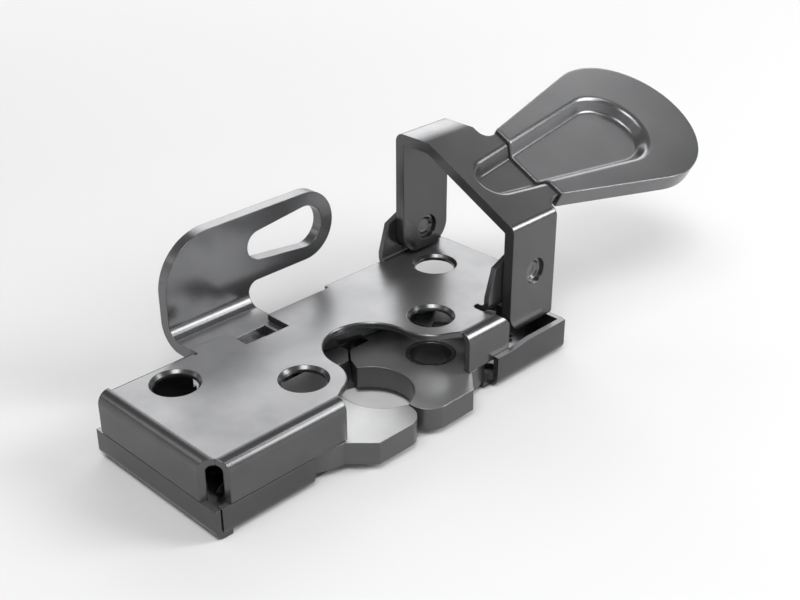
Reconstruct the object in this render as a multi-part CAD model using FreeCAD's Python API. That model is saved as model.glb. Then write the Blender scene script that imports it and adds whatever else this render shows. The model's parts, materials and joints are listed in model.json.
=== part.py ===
import FreeCAD, Part
import math
import os

from FreeCAD import Vector

# Rotary latch with two jaws, all sizes in millimetres.
# The origin is on the underside of the base, on the axis of the striker pin
# that the closed jaws hold. +Y points from the mouth to the back edge, +X to
# the end with the handle, +Z out of the base towards the cover.

# Stock
sheet = 1.6
lever_plate = 3.2
link_plate = 3.0
jaw_plate = 6.0
bail_plate = 3.0
bend_inner = 1.0
cover_bend_inner = 1.6
running_gap = 0.05
side_gap = 0.3
seam_gap = 0.1

# Housing
housing_left = -59.1
housing_right = 59.3
housing_front = -12.0
housing_back = 32.0
housing_height = 18.8
base_wall_height = 7.8
end_wall_height = 8.6
proud_wall_height = 9.6
proud_gap = 0.1
proud_left = 30.2
proud_right = 57.5
proud_low_height = 8.9
proud_rise_start = 36.5
proud_rise_end = 42.5
apron_left = 27.6
tooling_hole_x = 34.1
tooling_hole_y = -7.2
tooling_hole_radius = 2.5
bend_slit = 0.3
end_slit = 1.4
flange_slit = 1.0
back_flange_left = -56.0
back_flange_right = -33.0
back_lip_left = -29.0
back_lip_right = 12.0
base_back_left = 13.0
back_step_left = 13.3
back_step_reach = 1.4
corner_relief_radius = 7.7
corner_relief_out_x = 3.1
corner_relief_out_y = 1.5
front_flange_right = 36.2
cover_right = 58.0
mouth_left = -20.9
mouth_right = 20.9
jaw_window = 31.0
throat_radius = 11.4
throat_centre_y = 2.3
lobe_radius = 10.2
lobe_mid_angle = 222.0
lobe_end_angle = 249.5

# Holes shared by cover, base and bushes
hole_radius = 5.4
pivot_x = 21.5
pivot_y = 2.0
outer_hole_x = 43.7
outer_hole_y = 21.8

# Jaws
jaw_lift = 0.1
bush_wall = 1.2
eye_radius = 11.35
eye_offset = 2.4
jaw_boss_radius = 14.1
jaw_tail_radius = 22.2
jaw_front = -17.8
jaw_corner_x = 16.2
jaw_tip_x = 0.3
jaw_tip_drop = 1.3
jaw_nose_x = 1.9
jaw_nose_y = -16.0
jaw_front_start = 5.2
jaw_facet = 5.7
hook_draft = 0.9
prong_x = 3.4
prong_y = 10.1
shoulder_x = 4.4
shoulder_y = 13.9
notch_floor_y = 18.0
notch_inner_x = 7.8
hook_x = 13.9

# Catch between the two jaws
catch_nose_y = 14.4
catch_nose_half = 4.0
catch_neck_half = 7.3
catch_neck_y = 18.3
catch_wing_y = 21.4
catch_wing_half = 11.2
catch_back_y = 32.0
catch_stud_x = 4.0
catch_stud_y = 26.6
catch_stud_radius = 2.5
guide_x = -4.6
guide_y = 28.4
guide_radius = 1.8
guide_head_radius = 3.1
guide_head_height = 1.4
catch_travel = 7.8

# Trip lever
trip_gap = 0.15
shelf_left = -30.6
shelf_right = -5.1
shelf_front = 30.7
tongue_left = -9.8
tongue_right = 10.0
tongue_front = 19.0
plate_front_y = 42.4
trip_bend_inner = 3.4
plate_top_z = 42.5
arm_bottom_z = 23.1
arm_end_x = 14.9
plate_corner_radius = 14.5
slot_small_x = -0.6
slot_small_radius = 4.1
slot_large_x = 14.8
slot_large_radius = 5.9
notch_left = -21.0
notch_right = -7.5
notch_depth_y = 23.7

# Transfer lever under the cover
transfer_x = 33.0
transfer_y = 17.0
transfer_boss_radius = 5.6
transfer_stud_radius = 3.0
transfer_gap = 0.35
transfer_tab_x = 46.6
transfer_tab_y = -3.3
transfer_tab_width = 2.3
transfer_tab_top = 14.6
web_corner_x = 29.8
web_corner_y = 9.1
web_turn = 35.0
web_back = 3.4
web_depth = 12.5
web_shoulder = 1.0
web_rear_x = -6.5
web_rear_y = 9.5
arm_half = 5.0
fork_lead = 1.5
fork_reach = 9.0
fork_gap = 0.3
stud_head_rise = 2.0
stud_head_rim = 1.5
elbow_x = 22.0
elbow_y = 23.5
elbow_half = 4.5
fork_half = 4.9

# Springs that push the jaws open
spring_x = 44.2
spring_y = 8.6
spring_post_radius = 3.0
spring_post_top = 7.7
spring_coil_radius = 3.9
spring_wire = 1.2
spring_turns = 1
spring_pitch = 1.5
spring_foot_reach = 11.0
spring_arm_overlap = 1.1

# Bail and its ears
bail_pivot_x = 48.9
bail_pivot_z = 25.8
ear_left = 34.6
ear_right = 57.6
ear_top_z = 34.0
ear_shoulder_z = 29.2
ear_rise = 0.44
ear_step_z = 2.5
ear_lean = 2.4
ear_chamfer = 7.0
ear_notch_x = 32.4
ear_notch_y = -2.2
ear_notch_radius = 1.4
near_ear_outer_y = -6.0
far_ear_inner_y = 33.0
leg_behind = 9.3
leg_ahead = 7.9
pin_radius = 3.5
pin_head_radius = 5.0
pin_head_height = 1.5
pin_recess = 0.9
bail_top_z = 55.5
ridge_y = 20.5
slope_angle = 26.8
bail_bend_inner = 2.0
near_leg_bottom_z = 9.8
far_leg_bottom_z = 19.9
leg_corner_radius = 6.0
leg_edge_round = 1.6
foot_left = 47.2
foot_reach_y = 0.5

# Handle, measured along the sloping crossbar
grip_start_x = 62.0
grip_end_x = 105.5
grip_end_radius = 23.0
grip_start_half = 12.9
grip_axis_w = -16.9
grip_skin = 0.9
grip_depth = 4.0
tongue_inset = 1.3
neck_half = 12.4
pocket_start_x = 49.5
pocket_start_radius = 6.0
pocket_end_x = 97.0
pocket_end_radius = 12.8
pocket_depth = 3.2
pocket_wall = 1.6
pocket_draft = 0.75
pocket_floor_round = 1.2
neck_round = 3.0


def box(x0, x1, y0, y1, z0, z1):
    return Part.makeBox(x1 - x0, y1 - y0, z1 - z0, Vector(x0, y0, z0))


def cylinder(x, y, z0, z1, radius):
    return Part.makeCylinder(radius, z1 - z0, Vector(x, y, z0))


def point(x, y):
    return Vector(x, y, 0)


def line(a, b):
    return Part.makeLine(a, b)


def arc(a, middle, b):
    return Part.Arc(a, middle, b).toShape()


def plate(edges, z0, z1):
    face = Part.Face(Part.Wire(Part.__sortEdges__(edges)))
    solid = face.extrude(Vector(0, 0, z1 - z0))
    solid.translate(Vector(0, 0, z0))
    return solid


def polygon_plate(points, z0, z1):
    corners = [point(x, y) for x, y in points]
    edges = [line(a, b) for a, b in zip(corners, corners[1:] + corners[:1])]
    return plate(edges, z0, z1)


def capsule(x0, y0, r0, x1, y1, r1, z0, z1):
    """Plate outline round two circles of different radius."""
    length = math.hypot(x1 - x0, y1 - y0)
    heading = math.atan2(y1 - y0, x1 - x0)
    lean = math.acos((r0 - r1) / length)
    ends = []
    for x, y, r in ((x0, y0, r0), (x1, y1, r1)):
        for side in (1, -1):
            angle = heading + side * lean
            ends.append(point(x + r * math.cos(angle), y + r * math.sin(angle)))
    back = point(x0 - r0 * math.cos(heading), y0 - r0 * math.sin(heading))
    front = point(x1 + r1 * math.cos(heading), y1 + r1 * math.sin(heading))
    edges = [arc(ends[0], back, ends[1]), line(ends[1], ends[3])]
    edges += [arc(ends[3], front, ends[2]), line(ends[2], ends[0])]
    return plate(edges, z0, z1)


def mirrored(shape):
    return shape.mirror(Vector(0, 0, 0), Vector(1, 0, 0))


def bend_profile(wall, inner, height):
    """Bend and flange of a folded sheet, in the YZ plane.

    The sheet's top face is at z = 0 and the bend starts at y = 0. The
    flange hangs down on the side of -y, to a total height.
    """
    outer = inner + wall
    s = math.sqrt(0.5)
    a = Vector(0, 0, 0)
    b = Vector(0, -outer, -outer)
    c = Vector(0, -outer, -height)
    d = Vector(0, -inner, -height)
    e = Vector(0, -inner, -outer)
    f = Vector(0, 0, -wall)
    outer_mid = Vector(0, -outer * s, -outer + outer * s)
    inner_mid = Vector(0, -inner * s, -outer + inner * s)
    edges = [arc(a, outer_mid, b), arc(e, inner_mid, f), line(f, a)]
    if height > outer:
        edges += [line(b, c), line(c, d), line(d, e)]
    else:
        edges.append(line(b, e))
    return Part.Face(Part.Wire(Part.__sortEdges__(edges)))


def flange(length, height, wall=sheet, inner=bend_inner):
    return bend_profile(wall, inner, height).extrude(Vector(length, 0, 0))


def turned(shape, angle, axis, centre=Vector(0, 0, 0)):
    copy = shape.copy()
    copy.rotate(centre, axis, angle)
    return copy


def moved(shape, x, y, z):
    copy = shape.copy()
    copy.translate(Vector(x, y, z))
    return copy


def rounded(shape, picks, radius):
    """Fillets the straight edges that pass the test."""
    edges = [edge for edge in shape.Edges if picks(edge)]
    return shape.makeFillet(radius, edges)


bend_outer = bend_inner + sheet
cover_bend_outer = cover_bend_inner + sheet
leg_left = bail_pivot_x - leg_behind
leg_right = bail_pivot_x + leg_ahead
cover_under = housing_height - sheet
jaw_bottom = sheet + jaw_lift
jaw_top = jaw_bottom + jaw_plate
trip_top = cover_under - trip_gap
trip_bottom = trip_top - lever_plate
transfer_bottom = jaw_top + transfer_gap
transfer_top = transfer_bottom + link_plate


def mouth_cutter(z0, z1):
    """Throat with a round end that flares into a lobe round each bush."""
    reach = math.hypot(pivot_x, pivot_y - throat_centre_y)
    lobe_side = point(pivot_x - (reach - throat_radius), pivot_y)
    low_turn = math.radians(lobe_end_angle)
    mid_turn = math.radians(lobe_mid_angle)
    lobe_low = point(pivot_x + lobe_radius * math.cos(low_turn), pivot_y + lobe_radius * math.sin(low_turn))
    lobe_mid = point(pivot_x + lobe_radius * math.cos(mid_turn), pivot_y + lobe_radius * math.sin(mid_turn))
    top = point(0, throat_centre_y + throat_radius)
    low_y = housing_front - 1.0
    start = lobe_side
    end = point(-start.x, start.y)
    edges = [arc(start, top, end)]
    edges.append(arc(end, point(-lobe_mid.x, lobe_mid.y), point(-lobe_low.x, lobe_low.y)))
    edges.append(line(point(-lobe_low.x, lobe_low.y), point(mouth_left, housing_front + bend_outer)))
    edges.append(line(point(mouth_left, housing_front + bend_outer), point(mouth_left, low_y)))
    edges.append(line(point(mouth_left, low_y), point(mouth_right, low_y)))
    edges.append(line(point(mouth_right, low_y), point(mouth_right, housing_front + bend_outer)))
    edges.append(line(point(mouth_right, housing_front + bend_outer), lobe_low))
    edges.append(arc(lobe_low, lobe_mid, start))
    return plate(edges, z0, z1)


def hole_places():
    places = [(side * pivot_x, pivot_y) for side in (-1, 1)]
    places += [(side * outer_hole_x, outer_hole_y) for side in (-1, 1)]
    return places


def ear(inner_face_y, direction):
    """Ear folded up from the cover; direction is +1 for the far one."""
    height = ear_top_z - cover_under
    profile = flange(ear_right - ear_left, height)
    upright = turned(profile, 180, Vector(1, 0, 0))
    if direction > 0:
        solid = moved(upright, ear_left, inner_face_y - bend_inner, cover_under)
    else:
        solid = turned(upright, 180, Vector(0, 0, 1))
        solid = moved(solid, ear_right, inner_face_y + bend_inner, cover_under)
    low = housing_height + ear_step_z
    shoulder_x = ear_left + ear_lean
    rise_end = shoulder_x + (ear_top_z - ear_shoulder_z) / ear_rise
    slant = Part.makePolygon([
        Vector(ear_left - 1, 0, low), Vector(ear_left, 0, low), Vector(shoulder_x, 0, ear_shoulder_z),
        Vector(rise_end, 0, ear_top_z), Vector(rise_end, 0, ear_top_z + 1),
        Vector(ear_left - 1, 0, ear_top_z + 1), Vector(ear_left - 1, 0, low)])
    cutter = Part.Face(slant).extrude(Vector(0, 80, 0))
    cutter.translate(Vector(0, -30, 0))
    back = Part.makePolygon([
        Vector(ear_right - ear_chamfer, 0, ear_top_z), Vector(ear_right, 0, ear_top_z - ear_chamfer),
        Vector(ear_right + 1, 0, ear_top_z - ear_chamfer), Vector(ear_right + 1, 0, ear_top_z + 1),
        Vector(ear_right - ear_chamfer, 0, ear_top_z + 1), Vector(ear_right - ear_chamfer, 0, ear_top_z)])
    back_cutter = Part.Face(back).extrude(Vector(0, 80, 0))
    back_cutter.translate(Vector(0, -30, 0))
    return solid.cut(cutter).cut(back_cutter)


def cover_flange(length, height):
    return flange(length, height, sheet, cover_bend_inner)


def make_cover():
    top = housing_height
    left_flat = housing_left + cover_bend_outer
    front_flat = housing_front + cover_bend_outer
    back_flat = housing_back - cover_bend_outer
    height = top - base_wall_height - seam_gap
    near_bend_y = near_ear_outer_y + sheet + bend_inner
    flat = box(left_flat, cover_right, front_flat, housing_back, cover_under, top)
    flat = flat.cut(box(ear_notch_x, cover_right + 1, front_flat, near_bend_y, 0, top + 1))
    notch_end = ear_notch_x + ear_notch_radius
    notch = capsule(notch_end, ear_notch_y - ear_notch_radius, ear_notch_radius,
                    ear_left + 1, ear_notch_y - ear_notch_radius, 0.99 * ear_notch_radius, 0, top + 1)
    flat = flat.cut(notch.common(box(-100, ear_left, -100, 100, 0, 100)))
    flat = flat.cut(box(left_flat - 1, back_flange_right + flange_slit, back_flat, housing_back + 1, 0, top + 1))
    front = moved(cover_flange(front_flange_right - left_flat, height), left_flat, front_flat, top)
    shoulder = front_flange_right - ear_notch_x
    block = box(ear_notch_x, front_flange_right + 1, housing_front - 1, front_flat + 1, top - shoulder, top + 1)
    round_off = Part.makeCylinder(shoulder, cover_bend_outer + 3,
                                  Vector(ear_notch_x, housing_front - 2, top - shoulder), Vector(0, 1, 0))
    front = front.cut(block.cut(round_off))
    left_back = housing_back - flange_slit
    left = moved(turned(cover_flange(left_back - front_flat, height), -90, Vector(0, 0, 1)), left_flat, left_back, top)
    back = turned(cover_flange(back_flange_right - back_flange_left, height), 180, Vector(0, 0, 1))
    back = moved(back, back_flange_right, back_flat, top)
    step = box(back_step_left, ear_left, housing_back - 0.1, housing_back + back_step_reach, cover_under, top)
    shape = flat.fuse([front, left, back, step, ear(near_ear_outer_y + sheet, -1), ear(far_ear_inner_y, 1)])
    shape = shape.cut(mouth_cutter(-1, top + 1))
    shape = shape.cut(cylinder(housing_left - corner_relief_out_x, housing_front - corner_relief_out_y,
                               0, 30, corner_relief_radius))
    shape = shape.cut(box(notch_left, notch_right, notch_depth_y, housing_back + 2, cover_under - 1, top + 1))
    for x, y in hole_places():
        shape = shape.cut(cylinder(x, y, cover_under - 1, top + 1, hole_radius))
    for y in (near_ear_outer_y - 1, far_ear_inner_y - 1):
        bore = Part.makeCylinder(pin_radius, sheet + 3, Vector(bail_pivot_x, y, bail_pivot_z), Vector(0, 1, 0))
        shape = shape.cut(bore)
    return shape.removeSplitter()


def base_flange(length, height):
    return turned(flange(length, height), 180, Vector(1, 0, 0))


def make_base():
    left_flat = housing_left + bend_outer
    right_flat = housing_right - bend_outer
    front_flat = housing_front + bend_outer
    back_flat = housing_back - bend_outer
    inside_left = housing_left + sheet + bend_slit
    proud = sheet + proud_gap
    front_proud = front_flat - proud
    back_proud = back_flat + proud
    wall = base_wall_height
    flat = box(left_flat, right_flat, front_flat, back_flat, 0, sheet)
    front_left = turned(base_flange(-jaw_window - inside_left, wall), 180, Vector(0, 0, 1))
    front_left = moved(front_left, -jaw_window, front_flat, 0)
    front_right = turned(base_flange(proud_right - proud_left, proud_wall_height), 180, Vector(0, 0, 1))
    front_right = moved(front_right, proud_right, front_proud, 0)
    apron = box(apron_left, proud_right, front_proud, front_flat + 0.1, 0, sheet)
    lip = box(back_lip_left, back_lip_right, back_flat - 0.1, housing_back, 0, sheet)
    back = moved(base_flange(right_flat - base_back_left - end_slit, wall), base_back_left, back_flat, 0)
    back_left = moved(base_flange(-jaw_window - inside_left, wall), inside_left, back_proud, 0)
    back_apron = box(inside_left, -jaw_window, back_flat - 0.1, back_proud, 0, sheet)
    left_front = housing_front + bend_slit
    left_back = back_proud + bend_outer - bend_slit
    left = moved(turned(base_flange(left_back - left_front, wall), 90, Vector(0, 0, 1)), left_flat, left_front, 0)
    right_front = housing_front + bend_slit
    right_back = back_flat - end_slit
    right = turned(base_flange(right_back - right_front, end_wall_height), -90, Vector(0, 0, 1))
    right = moved(right, right_flat, right_back, 0)
    strip = box(left_flat - 0.1, inside_left + bend_outer, left_front, back_proud, 0, sheet)
    shape = flat.fuse([front_left, front_right, back, back_left, left, right, lip, apron, back_apron, strip])
    shape = shape.cut(mouth_cutter(-1, sheet + 0.01))
    rise = Part.makePolygon([
        Vector(proud_left - 1, 0, proud_low_height), Vector(proud_rise_start, 0, proud_low_height),
        Vector(proud_rise_end, 0, proud_wall_height), Vector(proud_rise_end, 0, proud_wall_height + 1),
        Vector(proud_left - 1, 0, proud_wall_height + 1), Vector(proud_left - 1, 0, proud_low_height)])
    rise_cutter = Part.Face(rise).extrude(Vector(0, sheet + 1, 0))
    rise_cutter.translate(Vector(0, housing_front - proud - 0.5, 0))
    shape = shape.cut(rise_cutter)
    for x, y in hole_places():
        radius = hole_radius + bush_wall if abs(x) == pivot_x else hole_radius
        shape = shape.cut(cylinder(x, y, -1, sheet + 1, radius))
    shape = shape.cut(cylinder(tooling_hole_x, tooling_hole_y, -1, sheet + 1, tooling_hole_radius))
    shape = shape.cut(cylinder(guide_x, guide_y, -1, sheet + 1, guide_radius))
    shape = shape.cut(cylinder(transfer_x, transfer_y, -1, sheet + 1, transfer_stud_radius))
    for side in (-1, 1):
        shape = shape.cut(cylinder(side * spring_x, spring_y, -1, sheet + 1, spring_post_radius))
    return shape.removeSplitter()


def jaw_outline():
    centre = point(-eye_offset, 0.1)
    pivot = point(pivot_x, pivot_y)

    def on_eye(angle):
        return centre + point(eye_radius * math.cos(angle), eye_radius * math.sin(angle))

    def round_pivot(radius, degrees):
        turn = math.radians(degrees)
        return pivot + point(radius * math.cos(turn), radius * math.sin(turn))

    prong_angle = math.asin((prong_y - centre.y) / eye_radius)
    tip_angle = -math.acos((jaw_tip_x - centre.x) / eye_radius)
    eye_top = on_eye(prong_angle)
    eye_tip = on_eye(tip_angle)
    tip_side = point(jaw_tip_x, eye_tip.y - jaw_tip_drop)
    front_start = point(jaw_front_start, jaw_front)
    corner_one = point(jaw_corner_x, jaw_front)
    corner_two = point(jaw_corner_x + jaw_facet, jaw_front + jaw_facet)
    boss_start = round_pivot(jaw_boss_radius, -88.5)
    boss_end = round_pivot(jaw_boss_radius, 58)
    tail_start = round_pivot(jaw_tail_radius, 80)
    hook_top_angle = math.degrees(math.acos((hook_x - pivot_x) / jaw_tail_radius))
    hook_top = round_pivot(jaw_tail_radius, hook_top_angle)
    tail_mid = round_pivot(jaw_tail_radius, 0.5 * (80 + hook_top_angle))
    notch_outer = point(hook_x + hook_draft, notch_floor_y)
    notch_inner = point(notch_inner_x, notch_floor_y)
    shoulder = point(shoulder_x, shoulder_y)
    edges = [arc(eye_top, on_eye(0.5 * (prong_angle + tip_angle)), eye_tip)]
    edges.append(line(eye_tip, tip_side))
    edges.append(arc(tip_side, point(jaw_nose_x, jaw_nose_y), front_start))
    edges.append(line(front_start, corner_one))
    edges.append(line(corner_one, corner_two))
    edges.append(line(corner_two, boss_start))
    edges.append(arc(boss_start, round_pivot(jaw_boss_radius, -15), boss_end))
    edges.append(line(boss_end, tail_start))
    edges.append(arc(tail_start, tail_mid, hook_top))
    edges.append(line(hook_top, notch_outer))
    edges.append(line(notch_outer, notch_inner))
    edges.append(line(notch_inner, shoulder))
    edges.append(line(shoulder, eye_top))
    return edges


def make_right_jaw():
    shape = plate(jaw_outline(), jaw_bottom, jaw_top)
    bore = hole_radius + bush_wall + running_gap
    return shape.cut(cylinder(pivot_x, pivot_y, jaw_bottom - 1, jaw_top + 1, bore))


def make_right_bush():
    outer = cylinder(pivot_x, pivot_y, 0, jaw_top, hole_radius + bush_wall)
    return outer.cut(cylinder(pivot_x, pivot_y, -1, jaw_top + 1, hole_radius))


def make_catch():
    right = [(catch_nose_half, catch_nose_y), (catch_neck_half, catch_neck_y), (catch_neck_half, catch_wing_y),
             (catch_wing_half, catch_wing_y), (catch_wing_half, catch_back_y)]
    points = right + [(-x, y) for x, y in reversed(right)]
    shape = polygon_plate(points, jaw_bottom, jaw_top)
    slot = guide_radius + running_gap
    low_y = guide_y - catch_travel - side_gap
    shape = shape.cut(capsule(guide_x, low_y, slot, guide_x, guide_y, slot, 0, jaw_top + 1))
    return shape.cut(cylinder(catch_stud_x, catch_stud_y, 0, jaw_top + 1, catch_stud_radius))


def make_right_spring_post():
    return cylinder(spring_x, spring_y, 0, spring_post_top, spring_post_radius)


def make_right_jaw_spring():
    """Torsion spring: one leg behind the jaw's tail, one against the end wall."""
    wire = 0.5 * spring_wire
    run = math.atan2(transfer_y - pivot_y, transfer_x - pivot_x)
    low = sheet + wire + side_gap
    section = []
    for corner in range(7):
        turn = math.radians(60 * corner + 30)
        section.append(Vector(spring_coil_radius + wire * math.cos(turn), 0, wire * math.sin(turn)))
    hexagon = Part.makePolygon(section)
    helix = Part.makeHelix(spring_pitch, spring_pitch * spring_turns, spring_coil_radius)
    coil = Part.Wire(helix.Edges).makePipeShell([hexagon], True, True)
    coil.rotate(Vector(0, 0, 0), Vector(0, 0, 1), math.degrees(run) + 180)
    coil.translate(Vector(spring_x, spring_y, low))
    across = Vector(math.cos(run), math.sin(run), 0)
    along = Vector(math.sin(run), -math.cos(run), 0)
    start = Vector(spring_x, spring_y, low) - across * spring_coil_radius
    gate = point(pivot_x, pivot_y) + across * (jaw_boss_radius + side_gap + wire)
    top = start + Vector(0, 0, spring_pitch * spring_turns)
    reach = (start - gate).dot(along) + spring_arm_overlap
    jaw_leg = Part.makeCylinder(wire, reach, top, -along)
    wall_leg = Part.makeCylinder(wire, spring_foot_reach, start, along)
    return coil.fuse([jaw_leg, wall_leg])


def make_catch_stud():
    return cylinder(catch_stud_x, catch_stud_y, jaw_bottom, trip_top, catch_stud_radius)


def make_guide_stud():
    shank = cylinder(guide_x, guide_y, 0, jaw_top + 0.1, guide_radius)
    head = cylinder(guide_x, guide_y, jaw_top + 0.1, jaw_top + 0.1 + guide_head_height, guide_head_radius)
    return shank.fuse(head).removeSplitter()


def make_trip_lever():
    outer = trip_bend_inner + lever_plate
    bend_start = plate_front_y - trip_bend_inner
    shelf = box(shelf_left, shelf_right, shelf_front, bend_start, trip_bottom, trip_top)
    tongue = box(tongue_left, tongue_right, tongue_front, shelf_front, trip_bottom, trip_top)
    joint = box(tongue_left, shelf_right, shelf_front - 0.1, shelf_front + 0.1, trip_bottom, trip_top)
    profile = flange(shelf_right - shelf_left, outer, lever_plate, trip_bend_inner)
    bend = turned(profile, 180, Vector(1, 0, 0))
    bend = moved(bend, shelf_left, bend_start, trip_bottom)
    low = trip_bottom + outer
    radius = 0.5 * (plate_top_z - arm_bottom_z)
    corner = plate_corner_radius

    def at(x, z):
        return Vector(x, plate_front_y, z)

    s = math.sqrt(0.5)
    left_corner_x = shelf_left + corner
    left_corner_z = plate_top_z - corner
    inner_fillet = 3.0
    edges = [line(at(shelf_left, low), at(shelf_left, left_corner_z))]
    corner_mid = at(left_corner_x - corner * s, left_corner_z + corner * s)
    edges.append(arc(at(shelf_left, left_corner_z), corner_mid, at(left_corner_x, plate_top_z)))
    edges.append(line(at(left_corner_x, plate_top_z), at(arm_end_x, plate_top_z)))
    end_mid = at(arm_end_x + radius, plate_top_z - radius)
    edges.append(arc(at(arm_end_x, plate_top_z), end_mid, at(arm_end_x, arm_bottom_z)))
    fillet_x = shelf_right + inner_fillet
    edges.append(line(at(arm_end_x, arm_bottom_z), at(fillet_x, arm_bottom_z)))
    fillet_z = arm_bottom_z - inner_fillet
    fillet_mid = at(fillet_x - inner_fillet * s, fillet_z + inner_fillet * s)
    if fillet_z > low:
        edges.append(arc(at(fillet_x, arm_bottom_z), fillet_mid, at(shelf_right, fillet_z)))
        edges.append(line(at(shelf_right, fillet_z), at(shelf_right, low)))
    else:
        edges.append(arc(at(fillet_x, arm_bottom_z), fillet_mid, at(shelf_right, low)))
    edges.append(line(at(shelf_right, low), at(shelf_left, low)))
    upright = Part.Face(Part.Wire(edges)).extrude(Vector(0, lever_plate, 0))
    mid_z = plate_top_z - radius
    slot = capsule(slot_small_x, 0, slot_small_radius, slot_large_x, 0, slot_large_radius, 0, 2 * lever_plate)
    slot = turned(slot, 90, Vector(1, 0, 0))
    slot = moved(slot, 0, plate_front_y + 1.5 * lever_plate, mid_z)
    shape = shelf.fuse([tongue, joint, bend, upright])
    shape = shape.cut(slot)
    shape = shape.cut(cylinder(catch_stud_x, catch_stud_y, 0, 40, catch_stud_radius))
    return shape.removeSplitter()


def make_transfer_lever():
    """Bell crank: a fork for the catch stud, and a tab turned up for the bail's foot."""
    z0, z1 = transfer_bottom, transfer_top
    boss = cylinder(transfer_x, transfer_y, z0, z1, transfer_boss_radius)
    arm = capsule(transfer_x, transfer_y, arm_half, elbow_x, elbow_y, elbow_half, z0, z1)
    inner = capsule(catch_stud_x, catch_stud_y, fork_half, elbow_x, elbow_y, elbow_half, z0, z1)
    turn = math.radians(web_turn)
    along = point(math.cos(turn), math.sin(turn))
    down = point(math.sin(turn), -math.cos(turn))
    corner = point(web_corner_x, web_corner_y)
    tab_end = transfer_tab_y + transfer_tab_width
    web = [corner - along * web_back, corner, corner + down * web_depth,
           point(transfer_tab_x - link_plate - web_shoulder, transfer_tab_y), point(transfer_tab_x, transfer_tab_y),
           point(transfer_tab_x, tab_end), point(transfer_x + transfer_boss_radius, transfer_y),
           point(transfer_x, transfer_y + arm_half), corner + point(web_rear_x, web_rear_y)]
    web = polygon_plate([(v.x, v.y) for v in web], z0, z1)
    tab = box(transfer_tab_x - link_plate, transfer_tab_x, transfer_tab_y, tab_end, z0, transfer_tab_top)
    shape = boss.fuse([arm, inner, web, tab])
    fork = catch_stud_radius + fork_gap
    heading_y = (catch_stud_y - transfer_y) / (transfer_x - catch_stud_x)
    shape = shape.cut(capsule(catch_stud_x + fork_lead, catch_stud_y - fork_lead * heading_y, fork,
                              catch_stud_x - fork_reach, catch_stud_y + fork_reach * heading_y, fork, 0, 40))
    bore = transfer_stud_radius + running_gap
    return shape.cut(cylinder(transfer_x, transfer_y, 0, 40, bore)).removeSplitter()


def make_transfer_stud():
    seat = transfer_top + 0.1
    shank = cylinder(transfer_x, transfer_y, 0, seat, transfer_stud_radius)
    head = cylinder(transfer_x, transfer_y, seat, seat + stud_head_rise, transfer_stud_radius + stud_head_rim)
    return shank.fuse([head]).removeSplitter()


def on_slope(shape):
    """Takes a plate drawn in XY onto the crossbar, its z becoming n."""
    copy = turned(shape, slope_angle, Vector(1, 0, 0))
    return moved(copy, 0, ridge_y, bail_top_z)


def bail_profile():
    """Folded strip seen along X: far leg, flat top, slope and near leg."""
    far_outer = far_ear_inner_y - side_gap
    near_outer = near_ear_outer_y - side_gap - bail_plate
    turn = math.radians(slope_angle)
    near_top_z = bail_top_z - (ridge_y - near_outer) * math.tan(turn)
    outer = [(far_outer, far_leg_bottom_z), (far_outer, bail_top_z), (ridge_y, bail_top_z),
             (near_outer, near_top_z), (near_outer, near_leg_bottom_z)]
    t = bail_plate
    ridge_shift = t * math.tan(0.5 * turn)
    near_shift = t * math.tan(0.5 * (0.5 * math.pi - turn))
    inner = [(near_outer + t, near_leg_bottom_z), (near_outer + t, near_top_z - near_shift),
             (ridge_y + ridge_shift, bail_top_z - t), (far_outer - t, bail_top_z - t),
             (far_outer - t, far_leg_bottom_z)]
    corners = [Vector(leg_left, y, z) for y, z in outer + inner]
    face = Part.Face(Part.makePolygon(corners + corners[:1]))
    return face.extrude(Vector(leg_right - leg_left, 0, 0))


def along_x(edge):
    if len(edge.Vertexes) != 2:
        return False
    a, b = edge.Vertexes[0].Point, edge.Vertexes[1].Point
    return abs(a.y - b.y) < 0.001 and abs(a.z - b.z) < 0.001


def pocket_sides(grow, n):
    """Tangent points of the pocket's two round ends, in order round it."""
    lean = math.acos((pocket_start_radius - pocket_end_radius) / (pocket_end_x - pocket_start_x))
    sides = []
    for x, radius, side in ((pocket_start_x, pocket_start_radius, 1), (pocket_end_x, pocket_end_radius, 1),
                            (pocket_end_x, pocket_end_radius, -1), (pocket_start_x, pocket_start_radius, -1)):
        reach = radius + grow
        sides.append(Vector(x + reach * math.cos(lean), grip_axis_w + side * reach * math.sin(lean), n))
    return sides


def pocket_solid(grow, depth, top, floor_round):
    """Drafted pocket, from its floor up to a height above the sheet's face."""
    low_grow = grow - pocket_draft * depth
    high_grow = grow + pocket_draft * top
    low = pocket_sides(low_grow, -depth)
    high = pocket_sides(high_grow, top)
    faces = [Part.Face(Part.makePolygon(low + low[:1])), Part.Face(Part.makePolygon(high + high[:1]))]
    for a in range(4):
        b = (a + 1) % 4
        faces.append(Part.Face(Part.makePolygon([low[a], low[b], high[b], high[a], low[a]])))
    solid = Part.Solid(Part.Shell(faces))
    if solid.Volume < 0:
        solid.reverse()
    ends = []
    for x, radius in ((pocket_start_x, pocket_start_radius), (pocket_end_x, pocket_end_radius)):
        place = Vector(x, grip_axis_w, -depth)
        ends.append(Part.makeCone(radius + low_grow, radius + high_grow, depth + top, place))
    solid = solid.fuse(ends).removeSplitter()
    if floor_round == 0:
        return solid
    edges = [edge for edge in solid.Edges if abs(edge.BoundBox.ZMax + depth) < 0.001]
    return solid.makeFillet(floor_round, edges)


def paddle_plate(inset, start_x, n0, n1):
    whole = capsule(grip_start_x - 6.0, grip_axis_w, grip_start_half - 1.6 - inset,
                    grip_end_x, grip_axis_w, grip_end_radius - inset, n0, n1)
    return whole.cut(box(-100, start_x, -100, 100, n0 - 1, n1 + 1))


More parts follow.
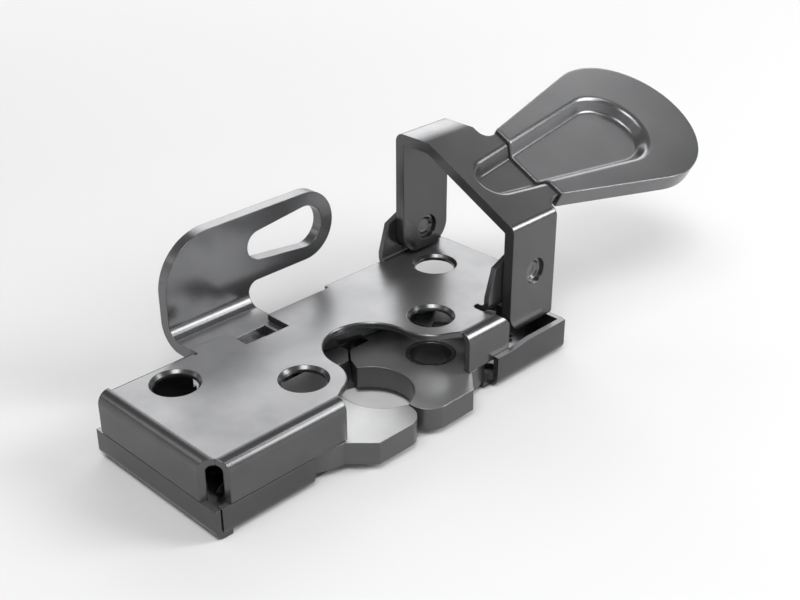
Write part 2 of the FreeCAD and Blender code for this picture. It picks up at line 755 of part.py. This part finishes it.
def leg_corner(edge_x, way, face_y, low_z):
    """What a round corner takes off the bottom of a leg."""
    centre_x = edge_x + way * leg_corner_radius
    block = box(min(edge_x, centre_x), max(edge_x, centre_x), face_y - 1, face_y + bail_plate + 1,
                low_z - 1, low_z + leg_corner_radius)
    round_end = Part.makeCylinder(leg_corner_radius, bail_plate + 4,
                                  Vector(centre_x, face_y - 2, low_z + leg_corner_radius), Vector(0, 1, 0))
    return block.cut(round_end)


def make_bail():
    strip = bail_profile()
    far_outer = far_ear_inner_y - side_gap
    near_outer = near_ear_outer_y - side_gap - bail_plate
    turn = math.radians(slope_angle)
    near_top_z = bail_top_z - (ridge_y - near_outer) * math.tan(turn)

    def bend_edge(edge):
        if not along_x(edge):
            return False
        y, z = edge.Vertexes[0].Point.y, edge.Vertexes[0].Point.z
        far_corner = abs(y - far_outer) < 0.01 and abs(z - bail_top_z) < 0.01
        near_corner = abs(y - near_outer) < 0.01 and abs(z - near_top_z) < 0.01
        return far_corner or near_corner

    strip = rounded(strip, bend_edge, bail_bend_inner + 0.5)
    strip = strip.cut(leg_corner(leg_left, 1, far_outer - bail_plate, far_leg_bottom_z))
    strip = strip.cut(leg_corner(leg_right, -1, far_outer - bail_plate, far_leg_bottom_z))
    strip = strip.cut(leg_corner(leg_left, 1, near_outer, near_leg_bottom_z))
    foot = box(foot_left, leg_right, near_outer, foot_reach_y, near_leg_bottom_z, near_leg_bottom_z + bail_plate)
    strip = strip.fuse(foot)
    edge = box(leg_left - 1, leg_right + 1, near_outer - 1, near_outer + leg_edge_round,
               near_leg_bottom_z - 1, near_leg_bottom_z + leg_edge_round)
    round_edge = Part.makeCylinder(leg_edge_round, leg_right - leg_left + 4,
                                   Vector(leg_left - 2, near_outer + leg_edge_round,
                                          near_leg_bottom_z + leg_edge_round), Vector(1, 0, 0))
    strip = strip.cut(edge.cut(round_edge))
    tongue = paddle_plate(tongue_inset, leg_right - 1, -bail_plate, 0)
    neck_top = grip_axis_w + neck_half
    neck = box(leg_right - 1, grip_start_x + 2, grip_axis_w - neck_half, neck_top, -bail_plate, 0)
    webs = box(leg_right - 1, leg_right + neck_round, grip_axis_w - neck_half - neck_round,
               neck_top + neck_round, -bail_plate, 0)
    for w in (grip_axis_w - neck_half - neck_round, neck_top + neck_round):
        webs = webs.cut(cylinder(leg_right + neck_round, w, -bail_plate - 1, 1, neck_round))
    tongue = tongue.fuse([neck, webs])
    tongue = tongue.cut(box(grip_end_x - 2, 200, -100, 100, -10, 10))
    bulge = pocket_solid(pocket_wall, pocket_depth + pocket_wall, 0.0, 0)
    bulge = bulge.common(box(-100, 200, -100, 100, -20, -bail_plate + 0.1))
    hidden = box(grip_start_x + tongue_inset, 200, -100, 100, -20, 10)
    cutter = pocket_solid(0.0, pocket_depth, 1.0, pocket_floor_round).cut(hidden)
    cutter = cutter.fuse(pocket_solid(0.0, pocket_depth, 1.0, 0).common(hidden))
    shape = strip.fuse([on_slope(tongue), on_slope(bulge)])
    shape = shape.cut(on_slope(cutter))
    for y in (near_outer - 1, far_outer - bail_plate - 1):
        bore = Part.makeCylinder(pin_radius + running_gap, bail_plate + 2,
                                 Vector(bail_pivot_x, y, bail_pivot_z), Vector(0, 1, 0))
        shape = shape.cut(bore)
    return shape.removeSplitter()


def make_handle_grip(bail):
    block = paddle_plate(0, grip_start_x, -grip_depth, grip_skin)
    low_wall = pocket_wall + grip_skin
    low = pocket_solid(low_wall, pocket_depth + low_wall, 0.0, 0)
    low = low.common(box(grip_start_x, 200, -100, 100, -20, -grip_depth + 0.1))
    shape = on_slope(block.fuse(low)).cut(bail)
    recess = pocket_solid(-grip_skin, pocket_depth - grip_skin, 2.0, pocket_floor_round)
    solids = shape.cut(on_slope(recess)).Solids
    return max(solids, key=lambda solid: solid.Volume)


def make_pin(leg_open_face, ear_far_face):
    """Shoulder pin: its plain end sits back in the leg, its head on the ear."""
    way = 1 if ear_far_face > leg_open_face else -1
    start = leg_open_face + way * pin_recess
    length = abs(ear_far_face - start)
    axis = Vector(0, way, 0)
    shank = Part.makeCylinder(pin_radius, length, Vector(bail_pivot_x, start, bail_pivot_z), axis)
    head = Part.makeCylinder(pin_head_radius, pin_head_height,
                             Vector(bail_pivot_x, ear_far_face, bail_pivot_z), axis)
    return shank.fuse(head).removeSplitter()


def main():
    os.makedirs("parts", exist_ok=True)
    bail = make_bail()
    near_leg_outer = near_ear_outer_y - side_gap - bail_plate
    far_leg_inner = far_ear_inner_y - side_gap - bail_plate
    right_jaw = make_right_jaw()
    right_bush = make_right_bush()
    right_post = make_right_spring_post()
    right_spring = make_right_jaw_spring()
    nodes = {
        "cover_plate": make_cover(),
        "base_plate": make_base(),
        "right_jaw": right_jaw,
        "left_jaw": mirrored(right_jaw),
        "right_spring_post": right_post,
        "left_spring_post": mirrored(right_post),
        "right_jaw_spring": right_spring,
        "left_jaw_spring": mirrored(right_spring),
        "right_bush": right_bush,
        "left_bush": mirrored(right_bush),
        "catch": make_catch(),
        "catch_stud": make_catch_stud(),
        "guide_stud": make_guide_stud(),
        "trip_lever": make_trip_lever(),
        "transfer_lever": make_transfer_lever(),
        "transfer_stud": make_transfer_stud(),
        "bail": bail,
        "handle_grip": make_handle_grip(bail),
        "near_pin": make_pin(near_leg_outer, near_ear_outer_y + sheet),
        "far_pin": make_pin(far_leg_inner, far_ear_inner_y + sheet),
    }
    for name, shape in nodes.items():
        shape.exportStep("parts/" + name + ".step")
        print(name, len(shape.Solids), shape.isValid(), round(shape.Volume, 1))


main()
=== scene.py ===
# %% [markdown]
# # A rotary latch in satin steel
# The latch is an assembly of pressed sheet-steel plates. Two jaws close round a
# striker pin, a catch holds them shut, and a handle on a bent bail lets them go.
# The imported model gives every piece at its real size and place. This lesson
# dresses those pieces: it breaks their edges, gives each kind of steel its own
# surface, and lights them as a small product is lit in a studio.

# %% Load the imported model
import bmesh
import bpy
import json
import math
from mathutils import Matrix, Vector


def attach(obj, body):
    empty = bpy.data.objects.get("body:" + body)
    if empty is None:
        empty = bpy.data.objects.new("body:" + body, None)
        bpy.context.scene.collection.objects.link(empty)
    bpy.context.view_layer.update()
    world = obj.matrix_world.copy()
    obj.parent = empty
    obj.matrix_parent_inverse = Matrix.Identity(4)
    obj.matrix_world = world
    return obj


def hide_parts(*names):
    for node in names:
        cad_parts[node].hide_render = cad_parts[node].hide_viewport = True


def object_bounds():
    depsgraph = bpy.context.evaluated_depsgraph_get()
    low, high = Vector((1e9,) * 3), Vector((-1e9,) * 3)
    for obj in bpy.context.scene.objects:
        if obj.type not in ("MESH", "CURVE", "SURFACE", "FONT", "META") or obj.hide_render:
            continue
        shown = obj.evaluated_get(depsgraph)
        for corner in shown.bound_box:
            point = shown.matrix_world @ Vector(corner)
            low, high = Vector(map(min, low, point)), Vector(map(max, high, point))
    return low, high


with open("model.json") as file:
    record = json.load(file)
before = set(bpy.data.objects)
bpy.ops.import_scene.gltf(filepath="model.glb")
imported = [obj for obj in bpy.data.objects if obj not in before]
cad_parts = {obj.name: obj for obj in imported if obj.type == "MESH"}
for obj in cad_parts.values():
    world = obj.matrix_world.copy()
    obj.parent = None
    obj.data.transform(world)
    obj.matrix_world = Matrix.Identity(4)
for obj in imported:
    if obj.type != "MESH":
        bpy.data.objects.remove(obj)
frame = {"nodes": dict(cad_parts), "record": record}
cad_box = [list(corner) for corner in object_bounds()]

# %% [markdown]
# ## The camera
# The photo looks down on the latch from its front left corner. The position, the
# direction and the lens come from the vanishing points of the plates' straight
# edges, so nothing has to be fitted by eye later on. The picture is taken to be
# 800 by 600, and the sensor is 36 mm wide.

# %% Set the camera
camera_place = Vector((-0.17906, -0.1874, 0.1708))
camera_turn = math.radians(-45.0)
camera_dip = math.radians(28.145)
camera_roll = math.radians(0.125)


def aim_camera():
    ahead = Vector((math.sin(-camera_turn) * math.cos(camera_dip),
                    math.cos(camera_turn) * math.cos(camera_dip), -math.sin(camera_dip)))
    right = Vector((math.cos(camera_turn), math.sin(camera_turn), 0.0))
    down = ahead.cross(right)
    right, down = (right * math.cos(camera_roll) + down * math.sin(camera_roll),
                   down * math.cos(camera_roll) - right * math.sin(camera_roll))
    turn = Matrix((right, -down, -ahead)).transposed().to_4x4()
    lens = bpy.data.cameras.new("photo_camera")
    lens.sensor_width = 36.0
    lens.lens = 55.5
    lens.clip_start = 0.005
    eye = bpy.data.objects.new("photo_camera", lens)
    eye.matrix_world = Matrix.Translation(camera_place) @ turn
    bpy.context.scene.collection.objects.link(eye)
    bpy.context.scene.camera = eye
    print("camera looks along", [round(v, 4) for v in ahead])


aim_camera()

# %% [markdown]
# ## The surface of the steel
# Rolled steel is never one flat grey. Rolling leaves a fine grain along the
# strip, handling leaves soft clouds, and a thin film of oil makes some of them
# shinier. One node group makes these effects from Object coordinates, so that
# the pattern has the same scale on every piece and moves with it. It puts out a
# colour, a roughness and a height, and each material feeds them to its own
# shader.

# %% Build the steel group
def new_group(name, inputs, outputs):
    group = bpy.data.node_groups.new(name, "ShaderNodeTree")
    for label, kind, value in inputs:
        socket = group.interface.new_socket(name=label, in_out="INPUT", socket_type=kind)
        socket.default_value = value
    for label, kind in outputs:
        group.interface.new_socket(name=label, in_out="OUTPUT", socket_type=kind)
    return group


def add(tree, kind, **values):
    node = tree.nodes.new(kind)
    for key, value in values.items():
        setattr(node, key, value)
    return node


def noise(tree, vector, scale, detail):
    node = add(tree, "ShaderNodeTexNoise")
    tree.links.new(vector, node.inputs["Vector"])
    node.inputs["Scale"].default_value = scale
    node.inputs["Detail"].default_value = detail
    return node.outputs["Fac"]


def remap(tree, value, low, high, to_low=0.0, to_high=1.0):
    node = add(tree, "ShaderNodeMapRange")
    tree.links.new(value, node.inputs["Value"])
    for label, number in (("From Min", low), ("From Max", high), ("To Min", to_low), ("To Max", to_high)):
        node.inputs[label].default_value = number
    return node.outputs["Result"]


def math_node(tree, operation, *values):
    node = add(tree, "ShaderNodeMath", operation=operation)
    for socket, value in zip(node.inputs, values):
        if isinstance(value, (int, float)):
            socket.default_value = value
        else:
            tree.links.new(value, socket)
    return node.outputs["Value"]


def mix_colour(tree, factor, first, second):
    node = add(tree, "ShaderNodeMix", data_type="RGBA")
    for label, value in (("Factor", factor), ("A", first), ("B", second)):
        tree.links.new(value, node.inputs[label])
    return node.outputs["Result"]


def build_rolled_steel():
    inputs = [("Colour", "NodeSocketColor", (0.2, 0.2, 0.2, 1.0)),
              ("Cloud Colour", "NodeSocketColor", (0.15, 0.15, 0.15, 1.0)),
              ("Roughness", "NodeSocketFloat", 0.25), ("Roughness Spread", "NodeSocketFloat", 0.06),
              ("Grain Stretch", "NodeSocketVector", (40.0, 1400.0, 1400.0))]
    outputs = [("Colour", "NodeSocketColor"), ("Roughness", "NodeSocketFloat"), ("Height", "NodeSocketFloat")]
    group = new_group("rolled_steel", inputs, outputs)
    enter = add(group, "NodeGroupInput").outputs
    leave = add(group, "NodeGroupOutput").inputs
    place = add(group, "ShaderNodeTexCoord").outputs["Object"]
    stretch = add(group, "ShaderNodeVectorMath", operation="MULTIPLY")
    group.links.new(place, stretch.inputs[0])
    group.links.new(enter["Grain Stretch"], stretch.inputs[1])
    grain = noise(group, stretch.outputs["Vector"], 1.0, 2.0)
    cloud = remap(group, noise(group, place, 55.0, 5.0), 0.38, 0.66)
    smear = remap(group, noise(group, place, 190.0, 3.0), 0.45, 0.75)
    tint = math_node(group, "MULTIPLY_ADD", smear, 0.35, math_node(group, "MULTIPLY", cloud, 0.65))
    group.links.new(mix_colour(group, tint, enter["Colour"], enter["Cloud Colour"]), leave["Colour"])
    spread = math_node(group, "MULTIPLY_ADD", math_node(group, "SUBTRACT", grain, 0.5), 0.3,
                       math_node(group, "SUBTRACT", tint, 0.4))
    group.links.new(math_node(group, "MULTIPLY_ADD", spread, enter["Roughness Spread"], enter["Roughness"]),
                    leave["Roughness"])
    group.links.new(grain, leave["Height"])
    return group


rolled_steel = build_rolled_steel()
print("group:", rolled_steel.name)

# %% [markdown]
# ## Sheared edges and painted wall shade
# The jaws, the catch and the levers are blanked from thick plate. Their flat
# faces are ground and bright, but the edge that the punch sheared is duller and
# carries fine lines through the plate's thickness. On every part in sheet steel
# the darker walls are painted shade: each face that is not level gets a darker
# colour, which stands in for the dark floor that the walls reflect. A second
# group tells level faces from the rest by the surface's own direction.

# %% Build the group for flats and edges
def build_sheared_edge_and_wall_shade():
    inputs = [("Flat Colour", "NodeSocketColor", (0.3, 0.3, 0.3, 1.0)),
              ("Edge Shade", "NodeSocketFloat", 0.5),
              ("Flat Roughness", "NodeSocketFloat", 0.25), ("Edge Roughness", "NodeSocketFloat", 0.36)]
    outputs = [("Colour", "NodeSocketColor"), ("Roughness", "NodeSocketFloat")]
    group = new_group("sheared_edge_and_wall_shade", inputs, outputs)
    enter = add(group, "NodeGroupInput").outputs
    leave = add(group, "NodeGroupOutput").inputs
    place = add(group, "ShaderNodeTexCoord")
    parts = add(group, "ShaderNodeSeparateXYZ")
    group.links.new(place.outputs["Normal"], parts.inputs["Vector"])
    # Painted shade: edge marks each face that is not level, and its colour is darkened below; on sheet steel
    # this stands in for the floor that the walls reflect
    edge = remap(group, math_node(group, "ABSOLUTE", parts.outputs["Z"]), 0.99, 0.94)
    darker = math_node(group, "SUBTRACT", enter["Edge Shade"], 1.0)
    shaded = math_node(group, "MULTIPLY_ADD", edge, darker, 1.0)
    tone = add(group, "ShaderNodeVectorMath", operation="SCALE")
    group.links.new(enter["Flat Colour"], tone.inputs[0])
    group.links.new(shaded, tone.inputs["Scale"])
    group.links.new(tone.outputs["Vector"], leave["Colour"])
    step = math_node(group, "SUBTRACT", enter["Edge Roughness"], enter["Flat Roughness"])
    group.links.new(math_node(group, "MULTIPLY_ADD", edge, step, enter["Flat Roughness"]), leave["Roughness"])
    return group


sheared_edge_and_wall_shade = build_sheared_edge_and_wall_shade()
print("group:", sheared_edge_and_wall_shade.name)

# %% [markdown]
# ## One material for each kind of steel
# The sheet is rolled and has a satin face. The jaws and the catch are thicker,
# with ground faces and sheared edges. The turned pins and bushes are darker than
# the sheet, and the spring wire is the darkest. The base, the bail, the grip
# and the trip lever are sheet as well, but the photo shows them in tones of their own. Each is the
# same group with its own values. For the base, the bail and the trip lever the
# main difference is how much shade is painted on their walls. The bump is far
# too small to see as a shape: it only breaks up the reflections. A Bevel node
# turns the normal close to each edge, which draws the narrow round that
# tumbling leaves on a pressed part.

# %% Make the steels
grain_height = 0.000004
across = (40.0, 1400.0, 1400.0)
along = (1400.0, 60.0, 1400.0)
sheet_tones = (0.245, 0.246, 0.251), (0.195, 0.196, 0.201)
grip_tones = (0.165, 0.166, 0.170), (0.140, 0.141, 0.145)
ground_tones = (0.390, 0.391, 0.395), (0.340, 0.341, 0.345)
turned_tones = (0.155, 0.156, 0.160), (0.130, 0.131, 0.135)
wire_tones = (0.10, 0.10, 0.105), (0.07, 0.07, 0.075)


def steel(name, tones, metallic, roughness, spread, stretch=across, bump=0.04, edge_mm=0.35):
    colour, cloud = tones
    material = bpy.data.materials.new(name)
    material.use_nodes = True
    tree = material.node_tree
    shader = tree.nodes["Principled BSDF"]
    shader.inputs["Metallic"].default_value = metallic
    surface = add(tree, "ShaderNodeGroup", node_tree=rolled_steel, label="surface")
    surface.name = "surface"
    surface.inputs["Colour"].default_value = (*colour, 1.0)
    surface.inputs["Cloud Colour"].default_value = (*cloud, 1.0)
    surface.inputs["Roughness"].default_value = roughness
    surface.inputs["Roughness Spread"].default_value = spread
    surface.inputs["Grain Stretch"].default_value = stretch
    broken_edge = add(tree, "ShaderNodeBevel", samples=6)
    broken_edge.inputs["Radius"].default_value = edge_mm / 1000
    relief = add(tree, "ShaderNodeBump")
    tree.links.new(broken_edge.outputs["Normal"], relief.inputs["Normal"])
    relief.name = "relief"
    relief.inputs["Strength"].default_value = bump
    relief.inputs["Distance"].default_value = grain_height
    tree.links.new(surface.outputs["Height"], relief.inputs["Height"])
    tree.links.new(surface.outputs["Colour"], shader.inputs["Base Color"])
    tree.links.new(surface.outputs["Roughness"], shader.inputs["Roughness"])
    tree.links.new(relief.outputs["Normal"], shader.inputs["Normal"])
    return material


# Faces that are not level get their colour scaled by edge_shade. On the jaws and the catch this is the
# sheared edge's own duller colour; on sheet steel it is painted shade for the floor that the walls reflect
def add_sheared_edge_and_wall_shade(material, edge_shade, edge_roughness):
    tree = material.node_tree
    shader = tree.nodes["Principled BSDF"]
    surface = tree.nodes["surface"]
    cut = add(tree, "ShaderNodeGroup", node_tree=sheared_edge_and_wall_shade)
    cut.inputs["Edge Shade"].default_value = edge_shade
    cut.inputs["Edge Roughness"].default_value = edge_roughness
    tree.links.new(surface.outputs["Colour"], cut.inputs["Flat Colour"])
    tree.links.new(surface.outputs["Roughness"], cut.inputs["Flat Roughness"])
    tree.links.new(cut.outputs["Colour"], shader.inputs["Base Color"])
    tree.links.new(cut.outputs["Roughness"], shader.inputs["Roughness"])


def sheet_steel(name, edge_shade, roughness=0.31, edge_mm=0.35):
    material = steel(name, sheet_tones, 0.78, roughness, 0.04, edge_mm=edge_mm)
    # Painted shade: the walls of every sheet material are darkened by edge_shade
    add_sheared_edge_and_wall_shade(material, edge_shade, 0.22)
    return material


# Painted shade: these sheet materials differ mainly in how dark their walls are painted
pressed = sheet_steel("pressed_steel", 0.47)
base_shaded_steel = sheet_steel("base_shaded_steel", 0.38, edge_mm=0.12)
trip_shaded_steel = sheet_steel("trip_shaded_steel", 0.66)
bail_shaded_steel = sheet_steel("bail_shaded_steel", 0.43, roughness=0.29)
grip_steel = steel("grip_steel", grip_tones, 0.78, 0.23, 0.03, edge_mm=0.7)
hardened = steel("jaw_steel", ground_tones, 0.75, 0.31, 0.03, along, 0.02)
add_sheared_edge_and_wall_shade(hardened, 0.32, 0.34)
turned = steel("pin_steel", turned_tones, 0.80, 0.23, 0.03)
wire = steel("spring_steel", wire_tones, 0.80, 0.33, 0.05)
steel_of_slot = {"pressed_steel": pressed, "jaw_steel": hardened, "pin_steel": turned, "spring_steel": wire}
print("materials:", sorted(material.name for material in bpy.data.materials))

# %% [markdown]
# ## Breaking the edges
# A blanked and folded plate has no perfectly sharp edge: the die rounds one
# side, and tumbling takes the burr off the other. Most of these rounds are
# thinner than a line in the photo, so the materials draw them. The wide ones,
# which a punch draws at a hole's rim or a pocket's, are real geometry. A copy of
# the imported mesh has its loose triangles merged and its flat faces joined, the
# chosen edges are beveled, and the copy stands for the node. A Weighted Normal
# modifier keeps each flat face flat beside its rounds. The shape and the size
# stay the model's.

# %% Dress one node
same_point = 0.000002
same_plane = math.radians(1.0)
same_height = 0.00002
slot_of_node = {part["node"]: part["material_slot"] for part in frame["record"]["subparts"]}
bodies = frame["record"]["behaviour"]["bodies"]
body_of_node = {node: body for body, nodes in bodies.items() for node in nodes}


def clean_copy(node):
    shape = bmesh.new()
    shape.from_mesh(frame["nodes"][node].data)
    bmesh.ops.remove_doubles(shape, verts=shape.verts, dist=same_point)
    bmesh.ops.dissolve_limit(shape, angle_limit=same_plane, verts=shape.verts, edges=shape.edges)
    return shape


def dress(node, sharp=32, rounds=(), segments=6, reshape=None, finish=None):
    shape = clean_copy(node)
    if reshape:
        reshape(shape)
    for chosen, width_mm in rounds:
        shape.normal_update()
        edges = [edge for edge in shape.edges if chosen(edge)]
        bmesh.ops.bevel(shape, geom=edges, offset=width_mm / 1000, offset_type="OFFSET",
                        segments=segments, profile=0.5, affect="EDGES", clamp_overlap=False,
                        material=-1)
    for face in shape.faces:
        face.smooth = True
    for edge in shape.edges:
        edge.smooth = edge.calc_face_angle(0.0) < math.radians(sharp)
    mesh = bpy.data.meshes.new(node + "_finished")
    shape.to_mesh(mesh)
    shape.free()
    piece = bpy.data.objects.new(node + "_finished", mesh)
    bpy.context.scene.collection.objects.link(piece)
    flats = piece.modifiers.new("flats_stay_flat", "WEIGHTED_NORMAL")
    flats.keep_sharp = True
    mesh.materials.append(finish or steel_of_slot[slot_of_node[node]])
    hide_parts(node)
    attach(piece, body_of_node[node])
    print(node, len(mesh.polygons), "faces")
    return piece


# %% [markdown]
# ## The plates
# The cover and the base are one blank each, folded into trays that meet edge to
# edge. The cover's holes were pressed from above, which drew each rim into a
# slope that faces the light, and the throat's edge has a narrower one. The
# cover's lower edge is broken too, so the seam between the trays shows dark.

# %% Dress the plates and the levers
cover_top = 0.0188
cover_bottom = 0.0079
hole_radius = 0.0054
outer_hole_x, outer_hole_y = 0.0437, 0.0218
pivot_x, pivot_y = 0.0215, 0.002
throat_back = 0.0142
shortest_seam = 0.02
clear_fold = 1.0
holes = [Vector((side * x, y, cover_top)) for side in (-1, 1)
         for x, y in ((outer_hole_x, outer_hole_y), (pivot_x, pivot_y))]


def level(edge, height):
    return all(abs(vert.co.z - height) < same_height for vert in edge.verts)


def middle_of(edge):
    return (edge.verts[0].co + edge.verts[1].co) / 2


def hole_rim(edge):
    distances = [(middle_of(edge) - hole).xy.length for hole in holes]
    return level(edge, cover_top) and any(abs(away - hole_radius) < 0.0001 for away in distances)


def throat_rim(edge):
    middle = middle_of(edge)
    in_throat = abs(middle.x) < pivot_x and middle.y < throat_back
    folded = edge.calc_face_angle(0.0) > clear_fold
    return level(edge, cover_top) and in_throat and folded and not hole_rim(edge)


def seam(edge):
    return level(edge, cover_bottom) and edge.calc_length() > shortest_seam


dress("cover_plate", rounds=((hole_rim, 0.8), (throat_rim, 0.3), (seam, 0.2)), segments=1)
dress("base_plate", finish=base_shaded_steel)
dress("trip_lever", finish=trip_shaded_steel)
dress("transfer_lever")

# %% [markdown]
# ## The handle
# The pocket was drawn into the handle by a punch, so its rim is a wide soft
# round where it leaves the flat, on the bail's neck and on the grip alike. The
# handle slopes, so an edge's place is first turned into the handle's own frame:
# along it, across it and off its face. The grip's front edge stands proud of the
# bail, and its round catches the light as a thin line.

# %% Dress the bail and the grip
slope = math.radians(26.8)
ridge = Vector((0.0, 0.0205, 0.0555))
pocket_middle = -0.0169
pocket_start, pocket_start_radius = 0.0495, 0.0060
pocket_end, pocket_end_radius = 0.0970, 0.0128
grip_start = 0.0620
grip_rise = 0.0009


def on_handle(place):
    away = place - ridge
    across = away.y * math.cos(slope) + away.z * math.sin(slope)
    off = away.z * math.cos(slope) - away.y * math.sin(slope)
    return place.x, across - pocket_middle, off


def near_pocket(place, spare=0.003):
    along, across, off = on_handle(place)
    share = (along - pocket_start) / (pocket_end - pocket_start)
    radius = pocket_start_radius + max(0.0, min(1.0, share)) * (pocket_end_radius - pocket_start_radius)
    beyond = max(0.0, along - pocket_end, pocket_start - along)
    return math.hypot(beyond, across) < radius + spare


def pocket_rim(face_height):
    def at_rim(edge):
        at_face = all(abs(on_handle(vert.co)[2] - face_height) < 3 * same_height for vert in edge.verts)
        near = all(near_pocket(vert.co) for vert in edge.verts)
        return at_face and near and edge.calc_face_angle(0.0) > 0.3
    return at_rim


def grip_front(edge):
    at_front = all(abs(vert.co.x - grip_start) < same_height for vert in edge.verts)
    face_up = Vector((0.0, -math.sin(slope), math.cos(slope)))
    return at_front and any(face.normal.dot(face_up) > 0.3 and abs(face.normal.x) < 0.9
                            for face in edge.link_faces)


dress("bail", rounds=((pocket_rim(0.0), 1.0),), finish=bail_shaded_steel)
dress("handle_grip", rounds=((pocket_rim(grip_rise), 1.0), (grip_front, 0.6)), finish=grip_steel)

# %% [markdown]
# ## The jaws and the catch
# The jaws are blanked from 6 mm plate and ground on their flat faces. They and
# the catch need no round beyond the narrow one that their material draws.

# %% Dress the jaws and the catch
for node in ("right_jaw", "left_jaw", "catch"):
    dress(node)

# %% [markdown]
# ## Turned pieces and springs
# Pins, studs, posts and bushes are turned. The open end of each bail pin is
# drilled with a shallow cup, for the tool that spreads it. The cup starts as an
# inset of the end face. The springs are round wire, made of narrow facets, so
# they are smoothed across wider angles than the other pieces.

# %% Dress the pins, bushes and springs
def cup_end(way):
    def reshape(shape):
        ends = [face for face in shape.faces if face.normal.y * way > 0.99]
        end = max(ends, key=lambda face: face.calc_center_median().y * way)
        for inward, depth in ((0.0009, 0.0), (0.0005, -0.0006), (0.0007, -0.0002)):
            bmesh.ops.inset_region(shape, faces=[end], thickness=inward, depth=depth)
    return reshape


dress("near_pin", reshape=cup_end(-1))
dress("far_pin", reshape=cup_end(-1))
for node in ("right_bush", "left_bush", "catch_stud", "guide_stud", "transfer_stud", "right_spring_post",
             "left_spring_post"):
    dress(node)
for node in ("right_jaw_spring", "left_jaw_spring"):
    dress(node, sharp=70)

# %% [markdown]
# ## Floor and light
# The photo is a product shot on white: a wide soft light from behind fills the
# top faces, narrow ones at the sides draw a thin bright line along each bend,
# and one above the front lights the far rims of the holes. The walls see only
# the floor, so they stay dark, and the sheet materials darken them further with
# painted shade. The floor is plain and pale and keeps the latch's
# shadow. Farther out it turns into plain white, for the camera and in
# reflections, so that no lamp has to burn it out. The world is a gradient,
# bright low down and dim overhead, the same for every kind of ray.

# %% Lay the floor and hang the lamps
floor_half = 3.0
floor_gap = 0.0002
floor_grey = 0.70
white_from, white_full = 0.2, 0.7
lit_point = Vector((0.0, 0.0, 0.02))


def whiten_far_floor(material):
    tree = material.node_tree
    rays = add(tree, "ShaderNodeLightPath").outputs
    seen = math_node(tree, "ADD", rays["Is Camera Ray"], rays["Is Glossy Ray"])
    seen = math_node(tree, "ADD", seen, rays["Is Transmission Ray"])
    distance = add(tree, "ShaderNodeVectorMath", operation="LENGTH")
    tree.links.new(add(tree, "ShaderNodeTexCoord").outputs["Object"], distance.inputs[0])
    far = remap(tree, distance.outputs["Value"], white_from, white_full)
    white = add(tree, "ShaderNodeEmission")
    blend = add(tree, "ShaderNodeMixShader")
    tree.links.new(math_node(tree, "MULTIPLY", seen, far), blend.inputs["Fac"])
    tree.links.new(tree.nodes["Principled BSDF"].outputs["BSDF"], blend.inputs[1])
    tree.links.new(white.outputs["Emission"], blend.inputs[2])
    tree.links.new(blend.outputs["Shader"], tree.nodes["Material Output"].inputs["Surface"])


def lay_floor():
    mesh = bpy.data.meshes.new("floor")
    shape = bmesh.new()
    bmesh.ops.create_grid(shape, x_segments=1, y_segments=1, size=floor_half)
    bmesh.ops.translate(shape, verts=shape.verts, vec=(0, 0, cad_box[0][2] - floor_gap))
    shape.to_mesh(mesh)
    shape.free()
    floor = bpy.data.objects.new("floor", mesh)
    bpy.context.scene.collection.objects.link(floor)
    material = bpy.data.materials.new("floor_white")
    material.use_nodes = True
    shader = material.node_tree.nodes["Principled BSDF"]
    shader.inputs["Base Color"].default_value = (floor_grey, floor_grey, floor_grey, 1.0)
    shader.inputs["Roughness"].default_value = 0.9
    shader.inputs["Specular IOR Level"].default_value = 0.1
    whiten_far_floor(material)
    mesh.materials.append(material)


def set_world():
    world = bpy.data.worlds.new("studio")
    bpy.context.scene.world = world
    world.use_nodes = True
    tree = world.node_tree
    parts = add(tree, "ShaderNodeSeparateXYZ")
    tree.links.new(add(tree, "ShaderNodeTexCoord").outputs["Generated"], parts.inputs["Vector"])
    strength = remap(tree, parts.outputs["Z"], 0.12, 0.42, 0.85, 0.24)
    tree.links.new(strength, tree.nodes["Background"].inputs["Strength"])
    tree.nodes["Background"].inputs["Color"].default_value = (1, 1, 1, 1)


def softbox(name, heading, distance, width, height, glow):
    lamp = bpy.data.lights.new(name, "AREA")
    lamp.shape = "RECTANGLE"
    lamp.size = width
    lamp.size_y = height
    lamp.energy = glow * math.pi * width * height
    box = bpy.data.objects.new(name, lamp)
    box.location = lit_point + Vector(heading).normalized() * distance
    box.rotation_euler = (lit_point - box.location).to_track_quat("-Z", "Y").to_euler()
    bpy.context.scene.collection.objects.link(box)
    print(name, "at", [round(v, 2) for v in box.location], "gives", round(lamp.energy, 2), "W")


lay_floor()
set_world()
softbox("back_softbox", (0.62, 0.62, 0.47), 1.0, 1.1, 0.42, 3.0)
softbox("right_softbox", (0.62, -0.62, 0.47), 0.9, 0.5, 0.30, 8.5)
softbox("overhead_softbox", (-0.36, -0.04, 0.93), 0.9, 0.5, 0.3, 4.5)
softbox("right_strip", (0.62, -0.50, 0.58), 0.9, 0.16, 0.5, 7.0)
softbox("left_strip", (-0.50, 0.62, 0.58), 0.9, 0.16, 0.5, 1.5)
softbox("front_softbox", (-0.36, -0.36, 0.86), 0.9, 0.34, 0.36, 8.0)
softbox("grip_softbox", (0.76, 0.10, 0.62), 1.0, 0.24, 0.22, 0.9)
bpy.context.scene.view_settings.view_transform = "Standard"
